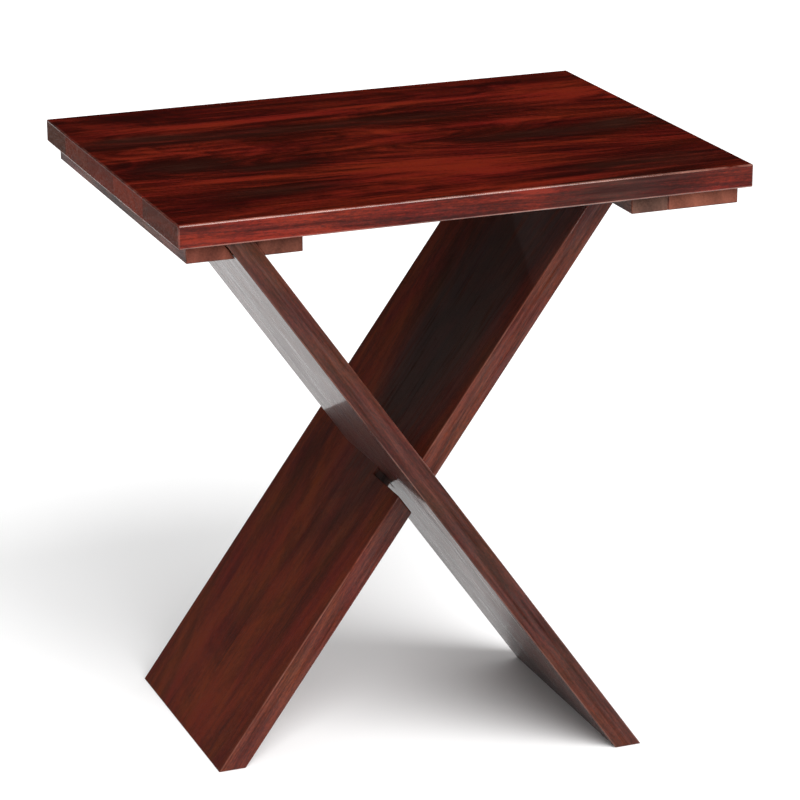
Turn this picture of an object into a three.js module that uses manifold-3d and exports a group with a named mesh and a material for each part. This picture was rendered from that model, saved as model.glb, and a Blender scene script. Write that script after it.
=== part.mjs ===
// Folding tray table: a solid hardwood top, glued up from boards, on two slab legs in an X.
// Each leg is halved into the other, so the table lifts and slides apart into flat pieces.
// Millimetres, +Z up, +X to the right along the grain of the top, -Y towards the user.
// The origin is on the floor, under the middle of the top.
import * as THREE from 'three';
import { mergeVertices } from 'three/addons/utils/BufferGeometryUtils.js';
import Module from 'manifold-3d';

const wasm = await Module();
wasm.setup();

// Driving dimensions
const TOP = { length: 508, depth: 384, thick: 20, height: 520 };
const BOARD_JOINTS = [-97, -14, 62, 131];       // glue lines of the top, from front to back
const BATTEN = { width: 99, thick: 15, endInset: 9, sideInset: 10, innerStrip: 34 };
const LEG = { width: 220, thick: 20, slack: 6.9 }; // slack: play of one leg in the other's slot
const GAP = 0.3;                                // clearance left where two pieces touch
const SCREW = { head: 3.6, shank: 2, headDepth: 2.4, length: 27, taper: 6, recess: 1.3 };
const SCREW_ROWS = [-148, -50, 40, 152];        // screws along each batten strip

const radians = THREE.MathUtils.degToRad;
const UNDER_TOP = TOP.height - TOP.thick;
const UNDER_BATTEN = UNDER_TOP - BATTEN.thick;

// A leg's lean is positive towards -X. Leg A runs up between the left batten's strips to the
// top itself; leg B bears on the underside of the right batten.
const LEG_A = { foot: 150, lean: radians(35.1), front: -187, endHeight: UNDER_TOP - GAP };
const LEG_B = { foot: -190.5, lean: radians(-36), front: -104, endHeight: UNDER_BATTEN - GAP };
const SLOT_END_A = -43;                         // leg A is cut from its back edge to here
const SLOT_END_B = -42;                         // leg B is cut from its front edge to here

const WOOD = {
  top: [0x5e1d14, 0x71271a, 0x561a12, 0x672117, 0x4f1711],
  batten: [0x7a3a26, 0x5b3a30, 0x8a4a30],
  leg: [0x5a2119, 0x63271c],
};

function finish(colour, roughness, metalness) {
  return new THREE.MeshStandardMaterial({ color: colour, roughness, metalness });
}

function wood(colour) {
  return finish(colour, 0.35, 0);
}

function steel() {
  return finish(0xb9a77a, 0.35, 0.9);
}

function solidOf(geometry) {
  const bare = geometry.clone();
  bare.deleteAttribute('normal');
  bare.deleteAttribute('uv');
  const merged = mergeVertices(bare);
  return new wasm.Manifold(new wasm.Mesh({
    numProp: 3,
    vertProperties: new Float32Array(merged.attributes.position.array),
    triVerts: new Uint32Array(merged.index.array),
  }));
}

function geometryOf(solid) {
  const { vertProperties, triVerts } = solid.getMesh();
  const geometry = new THREE.BufferGeometry();
  geometry.setAttribute('position', new THREE.BufferAttribute(vertProperties, 3));
  geometry.setIndex(new THREE.BufferAttribute(triVerts, 1));
  geometry.computeVertexNormals();
  return geometry;
}

function cut(geometry, cutters) {
  const solid = cutters.reduce((rest, cutter) => rest.subtract(solidOf(cutter)), solidOf(geometry));
  return geometryOf(solid);
}

function node(name, geometry, material) {
  const mesh = new THREE.Mesh(geometry, material);
  mesh.name = name;
  return mesh;
}

// A bar whose outline is drawn in x and z, and which runs from y = front to y = back
function barAlongY(outline, front, back) {
  const shape = new THREE.Shape(outline.map(([x, z]) => new THREE.Vector2(x, z)));
  const bar = new THREE.ExtrudeGeometry(shape, { depth: back - front, bevelEnabled: false });
  return bar.rotateX(Math.PI / 2).translate(0, back, 0);
}

function blockBetween([x0, y0, z0], [x1, y1, z1]) {
  const block = new THREE.BoxGeometry(x1 - x0, y1 - y0, z1 - z0);
  return block.translate((x0 + x1) / 2, (y0 + y1) / 2, (z0 + z1) / 2);
}

// Countersunk wood screws, driven up through the batten strips into the top. The same outline,
// grown by the clearance, cuts their holes.
function screwBody(clearance) {
  const { head, shank, headDepth, length, taper } = SCREW;
  const outline = [
    [0, -clearance],
    [head + clearance, -clearance],
    [shank + clearance, headDepth],
    [shank + clearance, length - taper],
    [0, length + clearance],
  ];
  const points = outline.map(([radius, height]) => new THREE.Vector2(radius, height));
  return new THREE.LatheGeometry(points, 12).rotateX(Math.PI / 2);
}

function screwGeometry() {
  const { head, recess } = SCREW;
  const arm = head * 1.2;
  const bar = blockBetween([-arm / 2, -0.4, -1], [arm / 2, 0.4, recess]);
  return cut(screwBody(0), [bar, bar.clone().rotateZ(Math.PI / 2)]);
}

function battenStrips() {
  const outerEnd = TOP.length / 2 - BATTEN.endInset;
  const innerEnd = outerEnd - BATTEN.width;
  const split = innerEnd + BATTEN.innerStrip;
  const ceiling = UNDER_TOP - GAP;
  const legFace = (side, z) => legCentreX(LEG_A, z) + side * (halfThickLevel(LEG_A) + GAP);
  const square = (x0, x1) => [[x0, UNDER_BATTEN], [x1, UNDER_BATTEN], [x1, ceiling], [x0, ceiling]];
  return {
    batten_left_outer: {
      outline: [[-outerEnd, UNDER_BATTEN], [legFace(-1, UNDER_BATTEN), UNDER_BATTEN],
        [legFace(-1, ceiling), ceiling], [-outerEnd, ceiling]],
      screwX: -228, colour: WOOD.batten[0],
    },
    batten_left_inner: {
      outline: [[legFace(1, UNDER_BATTEN), UNDER_BATTEN], [-innerEnd, UNDER_BATTEN],
        [-innerEnd, ceiling], [legFace(1, ceiling), ceiling]],
      screwX: -164, colour: WOOD.batten[0],
    },
    batten_right_inner: { outline: square(innerEnd, split - GAP), screwX: 163, colour: WOOD.batten[1] },
    batten_right_outer: { outline: square(split, outerEnd), screwX: 212, colour: WOOD.batten[2] },
  };
}

function screwHoles(screwX, rows) {
  return rows.map((y) => screwBody(GAP).translate(screwX, y, UNDER_BATTEN));
}

function battens(strips) {
  const group = new THREE.Group();
  const reach = TOP.depth / 2 - BATTEN.sideInset;
  for (const [name, strip] of Object.entries(strips)) {
    const bar = barAlongY(strip.outline, -reach, reach);
    group.add(node(name, cut(bar, screwHoles(strip.screwX, SCREW_ROWS)), wood(strip.colour)));
  }
  return group;
}

function battenScrews(strips) {
  const group = new THREE.Group();
  for (const [name, strip] of Object.entries(strips)) {
    SCREW_ROWS.forEach((y, index) => {
      const screw = node(`screw_${name}_${index + 1}`, screwGeometry(), steel());
      screw.position.set(strip.screwX, y, UNDER_BATTEN);
      group.add(screw);
    });
  }
  return group;
}

// The top: boards of random widths, edge-glued into one panel
function topPanel(strips) {
  const group = new THREE.Group();
  const edges = [-TOP.depth / 2, ...BOARD_JOINTS, TOP.depth / 2];
  WOOD.top.forEach((colour, index) => {
    const front = edges[index] + (index > 0 ? GAP / 2 : 0);
    const back = edges[index + 1] - (index < WOOD.top.length - 1 ? GAP / 2 : 0);
    const board = blockBetween([-TOP.length / 2, front, UNDER_TOP], [TOP.length / 2, back, TOP.height]);
    const rows = SCREW_ROWS.filter((y) => y > front && y < back);
    const holes = Object.values(strips).flatMap((strip) => screwHoles(strip.screwX, rows));
    group.add(node(`top_board_${index + 1}`, cut(board, holes), wood(colour)));
  });
  return group;
}

// Where a leg's middle plane passes at height z, and half its thickness measured level
function legCentreX(leg, z) {
  return leg.foot - z * Math.tan(leg.lean);
}

function halfThickLevel(leg) {
  return LEG.thick / 2 / Math.cos(leg.lean);
}

function crossingHeight() {
  return (LEG_A.foot - LEG_B.foot) / (Math.tan(LEG_A.lean) - Math.tan(LEG_B.lean));
}

// In a leg's own frame z runs up its length and x through its thickness. Both ends are cut
// level, to stand flat on the floor and to meet the top.
function legBoard(leg, front, back) {
  const half = LEG.thick / 2;
  const rise = half * Math.tan(leg.lean);
  const end = leg.endHeight / Math.cos(leg.lean);
  return barAlongY([[-half, rise], [half, -rise], [half, end - rise], [-half, end + rise]], front, back);
}

// The slot for the other leg: a slab parallel to that leg, tight on the side that bears and
// with the slack on the other. openSide is +1 or -1, the side of the other leg with the slack.
function crossingSlot(leg, other, front, back, openSide) {
  const turn = leg.lean - other.lean;
  const width = LEG.thick + GAP + LEG.slack;
  const offset = openSide * (LEG.slack - GAP) / 2;
  const slot = new THREE.BoxGeometry(width, back - front, LEG.thick * 4);
  const along = crossingHeight() / Math.cos(leg.lean);
  return slot.translate(offset, 0, 0).rotateY(turn).translate(0, (front + back) / 2, along);
}

function legGroup(name, leg, slots) {
  const group = new THREE.Group();
  group.position.x = leg.foot;
  group.rotation.y = -leg.lean;
  const middle = leg.front + LEG.width / 2;
  const boards = {
    front: [leg.front, middle - GAP / 2],
    back: [middle + GAP / 2, leg.front + LEG.width],
  };
  Object.entries(boards).forEach(([place, [front, back]], index) => {
    const board = cut(legBoard(leg, front, back), slots[place] ?? []);
    group.add(node(`${name}_${place}_board`, board, wood(WOOD.leg[index])));
  });
  return group;
}

function legs() {
  const past = 5;                               // the cutters run this far past the leg's edge
  const slotInA = crossingSlot(LEG_A, LEG_B, SLOT_END_A, LEG_A.front + LEG.width + past, 1);
  const slotInB = crossingSlot(LEG_B, LEG_A, LEG_B.front - past, SLOT_END_B, -1);
  return [
    legGroup('leg_a', LEG_A, { back: [slotInA] }),
    legGroup('leg_b', LEG_B, { front: [slotInB] }),
  ];
}

const strips = battenStrips();
const table = new THREE.Group();
table.add(topPanel(strips), battens(strips), battenScrews(strips), ...legs());

export default table;
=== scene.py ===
import math

import bmesh
import bpy
from mathutils import Matrix, Vector


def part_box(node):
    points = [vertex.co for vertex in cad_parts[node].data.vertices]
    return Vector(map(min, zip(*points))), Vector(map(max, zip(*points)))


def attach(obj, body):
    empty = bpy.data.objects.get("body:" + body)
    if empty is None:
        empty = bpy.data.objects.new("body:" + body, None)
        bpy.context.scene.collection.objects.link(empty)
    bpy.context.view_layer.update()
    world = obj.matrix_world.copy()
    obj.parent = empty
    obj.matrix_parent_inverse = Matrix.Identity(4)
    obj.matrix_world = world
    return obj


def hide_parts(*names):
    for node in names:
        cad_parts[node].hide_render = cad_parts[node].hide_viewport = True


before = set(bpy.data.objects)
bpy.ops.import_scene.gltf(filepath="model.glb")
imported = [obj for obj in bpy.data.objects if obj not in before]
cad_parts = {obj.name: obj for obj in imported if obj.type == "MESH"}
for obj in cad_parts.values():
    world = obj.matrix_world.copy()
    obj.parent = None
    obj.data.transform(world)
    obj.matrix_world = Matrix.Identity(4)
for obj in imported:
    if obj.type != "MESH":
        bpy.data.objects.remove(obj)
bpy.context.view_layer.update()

# ---------------------------------------------------------------------------------------------
# The tabletop: five rosewood boards of random widths, edge-glued and sanded into one panel,
# with its outer arrises eased by hand. It is stained deep red and lacquered to a gloss.
# ---------------------------------------------------------------------------------------------


class Wire:
    """A socket's value, which adds its own Math nodes when it is used in arithmetic."""

    def __init__(self, finish, socket):
        self.finish, self.socket = finish, socket

    def beside(self, out):
        """Another output of the node that this value comes from."""
        return Wire(self.finish, self.socket.node.outputs[out])

    def math(self, operation, *others):
        """A Math node on this value and any others."""
        values = dict(enumerate((self, *others)))
        return self.finish.node("ShaderNodeMath", {"operation": operation}, values)

    def __add__(self, other): return self.math("ADD", other)
    def __sub__(self, other): return self.math("SUBTRACT", other)
    def __mul__(self, other): return self.math("MULTIPLY", other)
    def __radd__(self, other): return self.math("ADD", other)
    def __rmul__(self, other): return self.math("MULTIPLY", other)
    def __rsub__(self, other): return self * -1 + other
    def clamped(self): return self.math("MINIMUM", 1).math("MAXIMUM", 0)


class Finish:
    """The nodes of a material, or of the room's glow, built up from wires."""

    def __init__(self, owner):
        owner.use_nodes = True
        self.tree = owner.node_tree
        self.tree.nodes.clear()

    def node(self, kind, settings=None, values=None, out=0):
        """Any node: its settings first, then its sockets' values or wires."""
        node = self.tree.nodes.new(kind)
        for setting, value in (settings or {}).items():
            if setting == "stops":
                ramp = node.color_ramp.elements
                while len(ramp) < len(value):
                    ramp.new(0.5)
                for element, (position, colour) in zip(ramp, value):
                    element.position = position
                    element.color = (*colour, 1)
            else:
                setattr(node, setting, value)
        for socket, value in (values or {}).items():
            if isinstance(value, Wire):
                self.tree.links.new(value.socket, node.inputs[socket])
            else:
                node.inputs[socket].default_value = value
        return Wire(self, node.outputs[out]) if len(node.outputs) else None

    def noise(self, where, stretch, detail=2.0, roughness=0.5):
        """Noise about zero, with features of size 1 / stretch along each axis."""
        multiply = {"operation": "MULTIPLY"}
        scaled = self.node("ShaderNodeVectorMath", multiply, {0: where, 1: stretch})
        values = {"Vector": scaled, "Scale": 1.0, "Detail": detail, "Roughness": roughness}
        return self.node("ShaderNodeTexNoise", {}, values) - 0.5

    def lines(self, where, detail=2.0):
        """Noise about zero along a single number, such as the distance from a log's heart."""
        values = {"W": where, "Scale": 1.0, "Detail": detail}
        return self.node("ShaderNodeTexNoise", {"noise_dimensions": "1D"}, values) - 0.5

    def blend(self, share, first, second, how="MIX"):
        """A share of the second colour laid over the first."""
        factor_socket, first_socket, second_socket, mixed_colour = 0, 6, 7, 2
        values = {factor_socket: share}
        for socket, colour in ((first_socket, first), (second_socket, second)):
            values[socket] = colour if isinstance(colour, Wire) else (*colour, 1)
        settings = {"data_type": "RGBA", "blend_type": how}
        return self.node("ShaderNodeMix", settings, values, out=mixed_colour)


def rosewood(name, tones, end_tone, heart, shift, tint, gloss, coat, turn=(0, 0, 0), marks=(),
             contrast=1.0, wild=1.0, arris_wear_and_highlight=0.25, silk=1.0, ash_and_shade_colour=(0.046, 0.018, 0.011), ash_and_shade_strength=0.5):
    """Solid rosewood, stained and lacquered, in millimetres.

    tones run from the darkest grain to the palest, tint moves the board along them and
    contrast spreads it over them. heart is where the log's heart runs beside the board, and
    how it tapers; wild is how much the grain wanders, silk how unevenly its fibres take the
    lacquer, and polish how far the arrises are worn through, which sets how strongly their
    paler colour shows and how much more lacquer they carry. That paler colour is partly worn
    stain and partly a painted highlight. A mark is (along, across, length, width, amount): a
    patch of the figure, paler above zero and darker below it. One that is dark enough also
    takes a greyer brown, for a dark patch of the wood itself or for painted shade: ash is that
    brown, and ashing how strongly it shows."""
    material = bpy.data.materials.new(name)
    wood = Finish(material)
    millimetres = (1000, 1000, 1000)
    place = wood.node("ShaderNodeTexCoord", out="Object")
    grain = wood.node("ShaderNodeMapping", {}, {
        "Vector": place, "Location": shift, "Rotation": turn, "Scale": millimetres})
    along = wood.node("ShaderNodeSeparateXYZ", {}, {0: grain})
    across, through = along.beside(1), along.beside(2)

    # The rings, as the saw met them round a wandering heart
    wander = wood.noise(grain, (0.006, 0.014, 0.014), detail=3) * (44 * wild)
    ripple = wood.noise(grain, (0.03, 0.05, 0.05), detail=2) * (5 * wild)
    heart_across, heart_depth, taper = heart
    side = across + wander + ripple - heart_across
    depth = through + wander * 0.5 - heart_depth
    radius = (side * side + depth * depth).math("SQRT") + along * taper
    bands_per_mm, rings_per_mm = 0.075, 0.42
    bands = wood.lines(radius * bands_per_mm, detail=3)
    rings = wood.lines(radius * rings_per_mm, detail=3)

    # What runs along the grain, from broad streaks to single fibres
    streaks = wood.noise(grain, (0.007, 0.1, 0.1), detail=4, roughness=0.6)
    lines = wood.noise(grain, (0.009, 0.5, 0.5), detail=3, roughness=0.65)
    fibres = wood.noise(grain, (0.05, 1.3, 1.3), detail=3, roughness=0.7)
    flecks = wood.noise(grain, (0.02, 0.35, 0.35), detail=3, roughness=0.6)
    speckle = wood.noise(grain, (0.22, 0.7, 0.7), detail=3, roughness=0.75)

    # The figure, with its marks bent by the grain
    bent_along = along + ripple * 3
    bent_across = across + wander * 0.35 + ripple
    figure = bands * 1.2 + streaks * 1.5 + rings * 0.8 + lines * 0.9
    ash_and_shade_mask = streaks * 0.5 - 0.12
    ash_and_shade_below = -0.3
    for mark_along, mark_across, length, width, amount in marks:
        offset_along = (bent_along - (mark_along + shift[0])) * (1 / length)
        offset_across = (bent_across - mark_across) * (1 / width)
        spread = offset_along * offset_along + offset_across * offset_across
        bloom = (spread * -1).math("EXPONENT")
        figure = figure + bloom * amount
        if amount < ash_and_shade_below:
            ash_and_shade_mask = ash_and_shade_mask + bloom * ash_and_shade_strength
    tone = (figure * contrast + fibres * 0.5 + flecks * 0.65 + speckle * 1.1 + tint).clamped()
    tone_stops = (0.05, 0.35, 0.62, 0.95)
    stops = list(zip(tone_stops, tones))
    colour = wood.node("ShaderNodeValToRGB", {"stops": stops}, {0: tone})

    # The sapwood side of a board turns orange under the stain, and the heart side crimson
    crimson_cast, orange_cast = (0.95, 0.72, 1.05), (1.05, 1.28, 0.88)
    blush = wood.noise(grain, (0.012, 0.03, 0.03), detail=3, roughness=0.6)
    warmth = wood.blend((blush * 2.6 + 0.5).clamped(), crimson_cast, orange_cast)
    colour = wood.blend(1.0, colour, warmth, how="MULTIPLY")

    # Round knots and in dark heartwood the stain takes less, and the wood stays a greyer brown. The
    # same greyer brown also paints the shade of a dark mark on leg B.
    ash_and_shade_share = 0.6
    ash_and_shade_cover = (ash_and_shade_mask * (flecks * 5 + 1)).clamped()
    colour = wood.blend(ash_and_shade_cover * ash_and_shade_share, colour, ash_and_shade_colour)

    # Open pores, filled with the darkest stain
    pore_rarity, pore_sharpness, pore_share = 0.13, 14, 0.6
    pores = wood.noise(grain, (0.13, 1.9, 1.9), detail=1)
    pore = ((pores - pore_rarity) * pore_sharpness).clamped()
    colour = wood.blend(pore * pore_share, colour, tones[0])

    # Sawn ends drink more stain but reflect duller, and show their board's own tone
    end_share = 0.85
    end = wood.node("ShaderNodeAttribute", {"attribute_name": "end_grain"}, out="Fac")
    end_speckle = wood.noise(grain, (1.0, 0.5, 0.5), detail=4, roughness=0.7)
    late_wood = tuple(level * 0.62 for level in end_tone)
    early_wood = tuple(min(1, level * 1.3) for level in end_tone)
    end_figure = (end_speckle * 1.6 + bands * 1.2 + 0.5).clamped()
    end_colour = wood.blend(end_figure, late_wood, early_wood)
    colour = wood.blend(end * end_share, colour, end_colour)

    # The stain is worn thin where the arrises were eased, and the paler colour laid there is partly
    # that worn stain and partly a painted highlight along the arrises
    worn_and_highlight_colour = (0.36, 0.16, 0.12)
    ease = wood.node("ShaderNodeAttribute", {"attribute_name": "eased"}, out="Fac")
    worn_and_highlight_patches = wood.noise(grain, (0.02, 0.05, 0.05), detail=4, roughness=0.7)
    worn_and_highlight_mask = ease * (worn_and_highlight_patches * 2.6 + 0.5).clamped()
    colour = wood.blend(worn_and_highlight_mask * (0.2 + 0.65 * arris_wear_and_highlight), colour, worn_and_highlight_colour)

    # The lacquer lies thicker on some fibres, is cloudy here and there, and sinks into pores
    relief_strength, relief_height, bare_shine = 0.22, 0.0004, 0.04
    haze = wood.noise(place, (9, 9, 9), detail=4, roughness=0.6)
    dull = haze * 0.2 + fibres * 0.15 + pore * 0.15 + end * 0.35 + worn_and_highlight_mask * 0.08 + (gloss + 0.3)
    height = fibres * 0.5 + rings * 0.3 - pore * 0.9
    bump = wood.node("ShaderNodeBump", {}, {
        "Height": height, "Strength": relief_strength, "Distance": relief_height})
    brushed = lines * (1.4 * silk) + flecks * (1.6 * silk) + 1
    lacquer = brushed * coat + ease * arris_wear_and_highlight - end * (coat * 0.9)
    shader = wood.node("ShaderNodeBsdfPrincipled", {}, {
        "Base Color": colour, "Roughness": dull.clamped(), "Normal": bump,
        "Coat Weight": lacquer.clamped(), "Coat Roughness": gloss,
        "Specular IOR Level": bare_shine})
    wood.node("ShaderNodeOutputMaterial", {}, {"Surface": shader})
    return material


def placed(name, data):
    """An object of this data at the origin, in the scene."""
    thing = bpy.data.objects.new(name, data)
    bpy.context.scene.collection.objects.link(thing)
    return thing


def eased_board(name, node, ease, grain_axis, glue_lines=()):
    """A copy of a board with its long arrises rounded. The faces at a glue line, which is a
    place across the board, are closed up to a hairline, as a glued joint is."""
    weld, hairline, glue_gap = 1e-6, 0.00003, 0.0004
    flat, sharp = math.radians(1), math.radians(50)
    shortest_arris = 0.009
    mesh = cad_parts[node].data.copy()
    mesh.name = name
    mesh.materials.clear()
    shape = bmesh.new()
    shape.from_mesh(mesh)
    bmesh.ops.remove_doubles(shape, verts=shape.verts, dist=weld)
    for glue_line in glue_lines:
        for vertex in shape.verts:
            if abs(vertex.co.y - glue_line) < glue_gap:
                vertex.co.y = glue_line + math.copysign(hairline, vertex.co.y - glue_line)
    bmesh.ops.dissolve_limit(shape, angle_limit=flat, verts=shape.verts, edges=shape.edges)
    shape.normal_update()
    # The layers come before the bevel, which would leave its faces out of date
    eased_layer = shape.faces.layers.float.new("eased")
    end_layer = shape.faces.layers.float.new("end_grain")

    def is_arris(edge):
        if len(edge.link_faces) != 2 or edge.calc_length() < shortest_arris:
            return False
        middle = (edge.verts[0].co + edge.verts[1].co) / 2
        is_glued = any(abs(middle.y - glue_line) < glue_gap / 2 for glue_line in glue_lines)
        return edge.calc_face_angle(0) > sharp and not is_glued

    arrises = [edge for edge in shape.edges if is_arris(edge)]
    rounded = set(bmesh.ops.bevel(
        shape, geom=arrises, offset=ease, offset_type="OFFSET", segments=3, profile=0.5,
        affect="EDGES", clamp_overlap=True)["faces"])
    axis = Vector(grain_axis)
    long_grain, end_grain = 0.2, 0.7
    for face in shape.faces:
        endways = abs(face.normal.dot(axis))
        face.smooth = face in rounded
        # Arrises along the grain take the full ease value, and with it the strongest painted
        # highlight colour; end arrises take less
        face[eased_layer] = (1.0 if endways < long_grain else 0.3) if face in rounded else 0.0
        face[end_layer] = 1.0 if endways > end_grain and face not in rounded else 0.0
    bmesh.ops.recalc_face_normals(shape, faces=shape.faces)
    shape.to_mesh(mesh)
    shape.free()
    return placed(name, mesh)


TOP_EASE = 0.0014
TOP_STEP = 7.0           # millimetres along the grain from one board's figure to the next
TOP_TONES = ((0.020, 0.0022, 0.0012), (0.041, 0.0028, 0.0013), (0.077, 0.0054, 0.0023),
             (0.145, 0.0102, 0.004))
TOP_ENDS = ((0.08, 0.022, 0.014), (0.14, 0.022, 0.010), (0.11, 0.02, 0.011),
            (0.105, 0.023, 0.012), (0.07, 0.028, 0.018))
TOP_HEARTS = ((-150, 400, 0.05), (-20, 455, -0.12), (20, 420, 0.10), (90, 470, -0.08),
              (150, 380, 0.06))
MARK_REACH = 40          # millimetres past a board's edge within which a mark still shows on it
TOP_MARKS = (
    (-140, 117, 110, 9, 0.55), (90, 124, 130, 10, 0.35), (215, 105, 60, 34, 0.5),
    (-60, 72, 210, 19, -0.4), (-205, 88, 45, 12, -0.35),
    (-200, 31, 55, 7, 0.5), (120, 28, 60, 8, 0.55), (0, 34, 70, 5, 0.25),
    (-190, -14, 48, 24, -0.85), (-122, -46, 42, 13, -0.7), (140, -26, 95, 19, -0.55),
    (212, -14, 30, 17, -0.35),
    (10, -95, 85, 48, 0.55), (-180, -74, 50, 8, 0.35), (-145, -118, 58, 17, -0.5),
    (175, -150, 80, 30, -0.45), (60, -178, 120, 9, 0.3), (-170, -172, 70, 9, 0.25),
    (-60, 165, 220, 22, -0.12), (-190, 168, 70, 22, -0.25), (215, 172, 40, 16, -0.3),
    (115, -193, 70, 7, -0.5), (55, -193, 14, 5, 0.35), (-170, -193, 70, 8, 0.25),
    (225, -193, 25, 6, 0.2),
)
top_boards = sorted(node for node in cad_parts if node.startswith("top_board"))
glue_lines = [(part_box(front)[1].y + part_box(back)[0].y) / 2
              for front, back in zip(top_boards, top_boards[1:])]
for index, node in enumerate(top_boards):
    low, high = (corner.y * 1000 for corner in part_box(node))
    near = [mark for mark in TOP_MARKS if low - MARK_REACH < mark[1] < high + MARK_REACH]
    board = eased_board(node + "_wood", node, TOP_EASE, (1, 0, 0),
                        glue_lines[max(0, index - 1):index + 1])
    board.data.materials.append(rosewood(
        node + "_rosewood", TOP_TONES, TOP_ENDS[index], TOP_HEARTS[index],
        shift=(index * TOP_STEP, 0, 0), marks=near, tint=0.47, gloss=0.13, coat=0.24, arris_wear_and_highlight=0.8))
    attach(board, "top")
    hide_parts(node)

# ---------------------------------------------------------------------------------------------
# The battens: two cross-pieces under the short ends, each of two strips cut from paler boards.
# The left pair leaves a slanted channel for the end of leg A. They are stained and satin lacquered.
# ---------------------------------------------------------------------------------------------

BATTEN_EASE = 0.0008
BATTEN_STEP = 11.0
BATTEN_TONES = ((0.030, 0.009, 0.006), (0.055, 0.015, 0.010), (0.085, 0.022, 0.013),
                (0.13, 0.036, 0.02))
BATTEN_ENDS = {
    "batten_left_outer": (0.115, 0.034, 0.023), "batten_left_inner": (0.105, 0.036, 0.024),
    "batten_right_inner": (0.085, 0.045, 0.034), "batten_right_outer": (0.175, 0.058, 0.037),
}
for index, (node, end_tone) in enumerate(BATTEN_ENDS.items()):
    strip = eased_board(node + "_wood", node, BATTEN_EASE, (0, 1, 0))
    heart = (index * 30 - 60, 430, 0.1)
    strip.data.materials.append(rosewood(
        node + "_rosewood", BATTEN_TONES, end_tone, heart, shift=(index * BATTEN_STEP, 0, 0),
        turn=(0, 0, math.pi / 2), tint=0.45, gloss=0.2, coat=0.12, wild=0.6))
    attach(strip, "top")
    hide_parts(node)

# ---------------------------------------------------------------------------------------------
# The screws: countersunk, with a cross recess, turned in steel and plated yellow. They hold the
# batten strips to the top, four to a strip, and each stopped at its own angle.
# ---------------------------------------------------------------------------------------------

SCREW_HEAD = 0.0036
SCREW_SHANK = 0.0019
HEAD_DEPTH = 0.0024
SCREW_LENGTH = 0.027
SCREW_POINT = 0.005
SCREW_SIDES = 32
THREAD_START = 0.010
THREAD_PITCH = 0.0018
THREAD_ROOT = 0.78       # of the shank's radius
RECESS_DEPTH = 0.0013
RECESS_WIDTH = 0.00084
RECESS_SPAN = SCREW_HEAD * 1.24
STOP_ANGLE_SEED = 4


def plated_steel():
    """Zinc-plated steel with a yellow cast, mottled and lightly scuffed."""
    material = bpy.data.materials.new("yellow_plated_steel")
    plate = Finish(material)
    place = plate.node("ShaderNodeTexCoord", out="Object")
    mottle = plate.noise(place, (400, 400, 400), detail=3)
    scuffs = plate.noise(place, (2200, 2200, 300), detail=2)
    colour = plate.blend((mottle * 2 + 0.5).clamped(), (0.42, 0.30, 0.11), (0.62, 0.50, 0.24))
    bump = plate.node("ShaderNodeBump", {}, {
        "Height": scuffs, "Strength": 0.15, "Distance": 0.0001})
    shader = plate.node("ShaderNodeBsdfPrincipled", {}, {
        "Base Color": colour, "Metallic": 1.0, "Roughness": (scuffs * 0.3 + 0.36).clamped(),
        "Normal": bump})
    plate.node("ShaderNodeOutputMaterial", {}, {"Surface": shader})
    return material


def as_made(thing):
    """A plain mesh of the object as its modifiers leave it."""
    bpy.context.view_layer.update()
    evaluated = thing.evaluated_get(bpy.context.evaluated_depsgraph_get())
    return bpy.data.meshes.new_from_object(evaluated)


def screw_blank():
    """One screw with its head at z = 0 and its point up, the recess pressed into the head."""
    rim_height, point_root = 0.0002, 0.7
    levels = [(SCREW_HEAD, 0.0), (SCREW_HEAD, rim_height), (SCREW_SHANK, HEAD_DEPTH)]
    for turn in range(int((SCREW_LENGTH - SCREW_POINT - THREAD_START) / THREAD_PITCH)):
        root = THREAD_START + turn * THREAD_PITCH
        levels += [(SCREW_SHANK * THREAD_ROOT, root), (SCREW_SHANK, root + THREAD_PITCH * 0.5)]
    levels.append((SCREW_SHANK * point_root, SCREW_LENGTH - SCREW_POINT))
    shape = bmesh.new()
    rims = []
    for radius, height in levels:
        angles = (2 * math.pi * side / SCREW_SIDES for side in range(SCREW_SIDES))
        rims.append([shape.verts.new((radius * math.cos(angle), radius * math.sin(angle), height))
                     for angle in angles])
    for lower, upper in zip(rims, rims[1:]):
        for side in range(SCREW_SIDES):
            after = (side + 1) % SCREW_SIDES
            shape.faces.new((lower[side], lower[after], upper[after], upper[side]))
    tip = shape.verts.new((0, 0, SCREW_LENGTH))
    for side in range(SCREW_SIDES):
        shape.faces.new((rims[-1][side], rims[-1][(side + 1) % SCREW_SIDES], tip))
    shape.faces.new(list(reversed(rims[0])))
    bmesh.ops.recalc_face_normals(shape, faces=shape.faces)
    mesh = bpy.data.meshes.new("screw_blank")
    shape.to_mesh(mesh)
    shape.free()
    blank = placed("screw_blank", mesh)
    bar_size = Matrix.Diagonal((RECESS_SPAN, RECESS_WIDTH, RECESS_DEPTH * 2, 1))
    for turn in (0, math.pi / 2):
        bar_mesh = bpy.data.meshes.new("recess_bar")
        bar_shape = bmesh.new()
        bmesh.ops.create_cube(bar_shape, size=1)
        bar_shape.transform(Matrix.Rotation(turn, 4, "Z") @ bar_size)
        bar_shape.to_mesh(bar_mesh)
        bar_shape.free()
        bar = placed("recess_bar", bar_mesh)
        cut = blank.modifiers.new("recess", "BOOLEAN")
        cut.object, cut.operation, cut.solver = bar, "DIFFERENCE", "EXACT"
        pressed = as_made(blank)
        blank.modifiers.clear()
        blank.data = pressed
        bpy.data.objects.remove(bar)
    return blank


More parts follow.
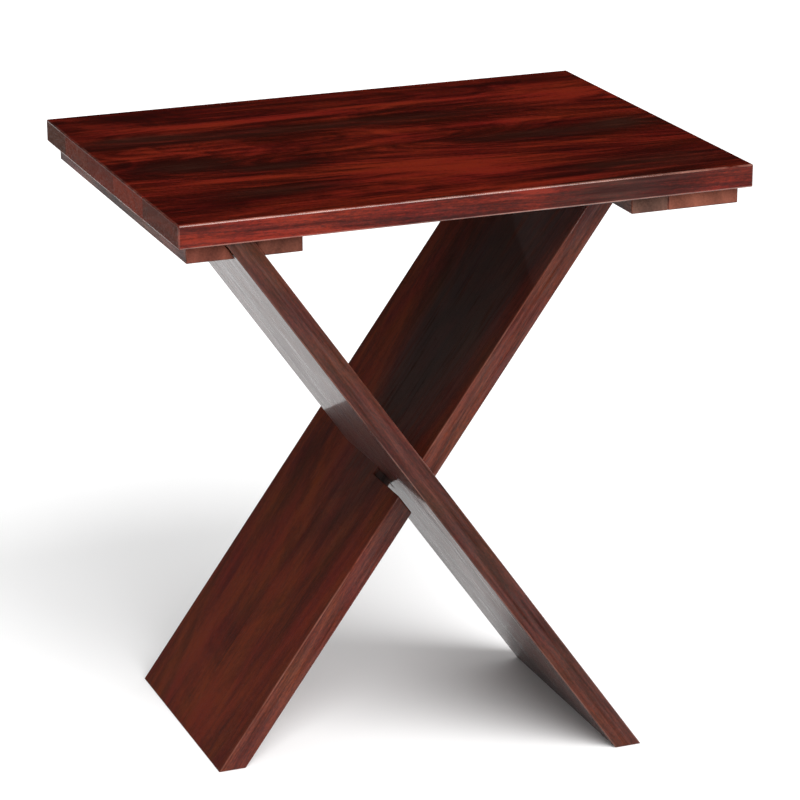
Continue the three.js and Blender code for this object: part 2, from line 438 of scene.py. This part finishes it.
def screws_on_points(points, blank, material, seed):
    """Geometry Nodes: one screw on each point, turned at random about its own axis."""
    tree = bpy.data.node_groups.new("battens_screwed_up", "GeometryNodeTree")
    tree.interface.new_socket("Points", in_out="INPUT", socket_type="NodeSocketGeometry")
    tree.interface.new_socket("Screw", in_out="INPUT", socket_type="NodeSocketObject")
    tree.interface.new_socket("Seed", in_out="INPUT", socket_type="NodeSocketInt")
    tree.interface.new_socket("Screws", in_out="OUTPUT", socket_type="NodeSocketGeometry")
    nodes, link = tree.nodes, tree.links.new
    given, made = nodes.new("NodeGroupInput"), nodes.new("NodeGroupOutput")
    info = nodes.new("GeometryNodeObjectInfo")
    turn = nodes.new("FunctionNodeRandomValue")
    turn.data_type = "FLOAT_VECTOR"
    turn.inputs["Min"].default_value = (0, 0, 0)
    turn.inputs["Max"].default_value = (0, 0, 2 * math.pi)
    place = nodes.new("GeometryNodeInstanceOnPoints")
    real = nodes.new("GeometryNodeRealizeInstances")
    coat = nodes.new("GeometryNodeSetMaterial")
    coat.inputs["Material"].default_value = material
    link(given.outputs["Screw"], info.inputs["Object"])
    link(given.outputs["Seed"], turn.inputs["Seed"])
    link(given.outputs["Points"], place.inputs["Points"])
    link(info.outputs["Geometry"], place.inputs["Instance"])
    link(turn.outputs[0], place.inputs["Rotation"])
    link(place.outputs[0], real.inputs[0])
    link(real.outputs[0], coat.inputs["Geometry"])
    link(coat.outputs[0], made.inputs[0])
    modifier = points.modifiers.new("screws", "NODES")
    modifier.node_group = tree
    inputs = {"Screw": blank, "Seed": seed}
    for item in tree.interface.items_tree:
        if item.in_out == "INPUT" and item.name in inputs:
            modifier[item.identifier] = inputs[item.name]
    return as_made(points)


screw_nodes = sorted(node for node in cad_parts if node.startswith("screw_batten"))
seat_mesh = bpy.data.meshes.new("screw_seats")
seat_mesh.from_pydata([((low.x + high.x) / 2, (low.y + high.y) / 2, low.z)
                       for low, high in map(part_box, screw_nodes)], [], [])
seats = placed("screw_seats", seat_mesh)
blank = screw_blank()
screws = placed("batten_screws", screws_on_points(seats, blank, plated_steel(), STOP_ANGLE_SEED))
bpy.data.objects.remove(seats)
bpy.data.objects.remove(blank)
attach(screws, "top")
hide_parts(*screw_nodes)

# ---------------------------------------------------------------------------------------------
# The legs: two slabs, each glued from two rosewood boards with the grain along the leg, halved
# into each other where they cross. Their ends are sawn level. Same stain, satin lacquer.
# ---------------------------------------------------------------------------------------------

LEG_EASE = 0.0010
LEG_STEP = 260.0
LEG_TONES = ((0.022, 0.0065, 0.004), (0.042, 0.0085, 0.0048), (0.066, 0.0115, 0.0058),
             (0.112, 0.018, 0.007))
LEG_TINT = {"leg_a": 0.36, "leg_b": 0.74}
LEG_FIGURE = {"leg_a": 0.4, "leg_b": 0.62}
LEG_END = (0.07, 0.026, 0.018)
# The legs' greyer brown, grey enough that it also paints the shade on the upper part of leg B
LEG_ASH_AND_SHADE = (0.041, 0.034, 0.031)
LEG_HEARTS = {"leg_a": (-77, 60, 0.07), "leg_b": (6, -80, -0.09)}
LEANS = {"leg_a": math.radians(35.1), "leg_b": math.radians(-36)}
LEG_MARKS = {
    "leg_a": (),
    "leg_b": (
        (90, 35, 120, 10, 0.45), (60, -60, 140, 14, -0.3), (130, 80, 110, 12, -0.25),
        (50, 60, 60, 16, 0.35), (-60, 62, 50, 14, 0.45), (-85, -10, 30, 30, 0.35),
        (30, -15, 90, 6, 0.35), (30, -106, 180, 8, -0.28),
        (325, -20, 165, 62, -0.6)),     # painted shade: the upper part of leg B, under the top, darkened and greyed
}
for leg, lean in LEANS.items():
    boards = [leg + "_front_board", leg + "_back_board"]
    glue_line = (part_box(boards[0])[1].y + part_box(boards[1])[0].y) / 2
    grain_axis = (-math.sin(lean), 0, math.cos(lean))
    for index, node in enumerate(boards):
        board = eased_board(node + "_wood", node, LEG_EASE, grain_axis, [glue_line])
        board.data.materials.append(rosewood(
            node + "_rosewood", LEG_TONES, LEG_END, LEG_HEARTS[leg],
            shift=(index * LEG_STEP, 0, 0), turn=(0, lean + math.pi / 2, 0),
            marks=LEG_MARKS[leg], contrast=LEG_FIGURE[leg], tint=LEG_TINT[leg], gloss=0.07,
            coat=0.34, wild=0.45, silk=1.9, arris_wear_and_highlight=0.12, ash_and_shade_colour=LEG_ASH_AND_SHADE, ash_and_shade_strength=1.6))
        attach(board, leg)
        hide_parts(node)

# ---------------------------------------------------------------------------------------------
# The stand-in studio: a pale floor, one broad soft light from the front, high and a little to
# the right, an even glow from all round, and the camera.
# ---------------------------------------------------------------------------------------------

FLOOR_REACH = 30.0
FLOOR_PALE = (0.93, 0.93, 0.93, 1)
floor_mesh = bpy.data.meshes.new("studio_floor")
floor_mesh.from_pydata([(x * FLOOR_REACH, y * FLOOR_REACH, 0)
                        for x, y in ((-1, -1), (1, -1), (1, 1), (-1, 1))], [], [(0, 1, 2, 3)])
floor = placed("studio_floor", floor_mesh)
floor_paper = bpy.data.materials.new("floor_paper")
paper = Finish(floor_paper)
matt = paper.node("ShaderNodeBsdfPrincipled", {}, {
    "Base Color": FLOOR_PALE, "Roughness": 0.9, "Specular IOR Level": 0.0})
paper.node("ShaderNodeOutputMaterial", {}, {"Surface": matt})
floor.data.materials.append(floor_paper)

KEY_STRENGTH = 4.3
KEY_SPREAD = math.radians(52)
KEY_FROM = Vector((0.13, -0.77, 0.61))
key = bpy.data.lights.new("soft_key", "SUN")
key.energy = KEY_STRENGTH
key.angle = KEY_SPREAD
key_light = placed("soft_key", key)
key_light.rotation_euler = KEY_FROM.to_track_quat("Z", "Y").to_euler()

# The glow is pale to look at and lights the room, but shows dark in the lacquer, as a studio's
# far walls do.
GLOW_STRENGTH = 0.61
WALL_STRENGTH = 0.008
BACKDROP_STRENGTH = 1.0
studio = bpy.data.worlds.new("studio")
bpy.context.scene.world = studio
room = Finish(studio)
in_view = room.node("ShaderNodeLightPath", out="Is Camera Ray")
in_lacquer = in_view.beside("Is Glossy Ray")
glow, walls, backdrop = (
    room.node("ShaderNodeBackground", {}, {"Color": (1, 1, 1, 1), "Strength": strength})
    for strength in (GLOW_STRENGTH, WALL_STRENGTH, BACKDROP_STRENGTH))
lit = room.node("ShaderNodeMixShader", {}, {0: in_lacquer, 1: glow, 2: walls})
seen = room.node("ShaderNodeMixShader", {}, {0: in_view, 1: lit, 2: backdrop})
room.node("ShaderNodeOutputWorld", {}, {"Surface": seen})
bpy.context.scene.view_settings.view_transform = "Standard"

LENS = 146.5
SENSOR_WIDTH = 36
CAMERA_PLACE = (-0.9932, -2.5594, 1.2096)
YAW, PITCH, ROLL = (math.radians(angle) for angle in (21.37, -18.65, -0.3))
camera_data = bpy.data.cameras.new("camera")
camera_data.lens = LENS
camera_data.sensor_width = SENSOR_WIDTH
camera = placed("camera", camera_data)
camera.location = CAMERA_PLACE
upright = math.pi / 2
camera.rotation_euler = (Matrix.Rotation(-YAW, 4, "Z") @ Matrix.Rotation(upright + PITCH, 4, "X")
                         @ Matrix.Rotation(ROLL, 4, "Z")).to_euler()
bpy.context.scene.camera = camera
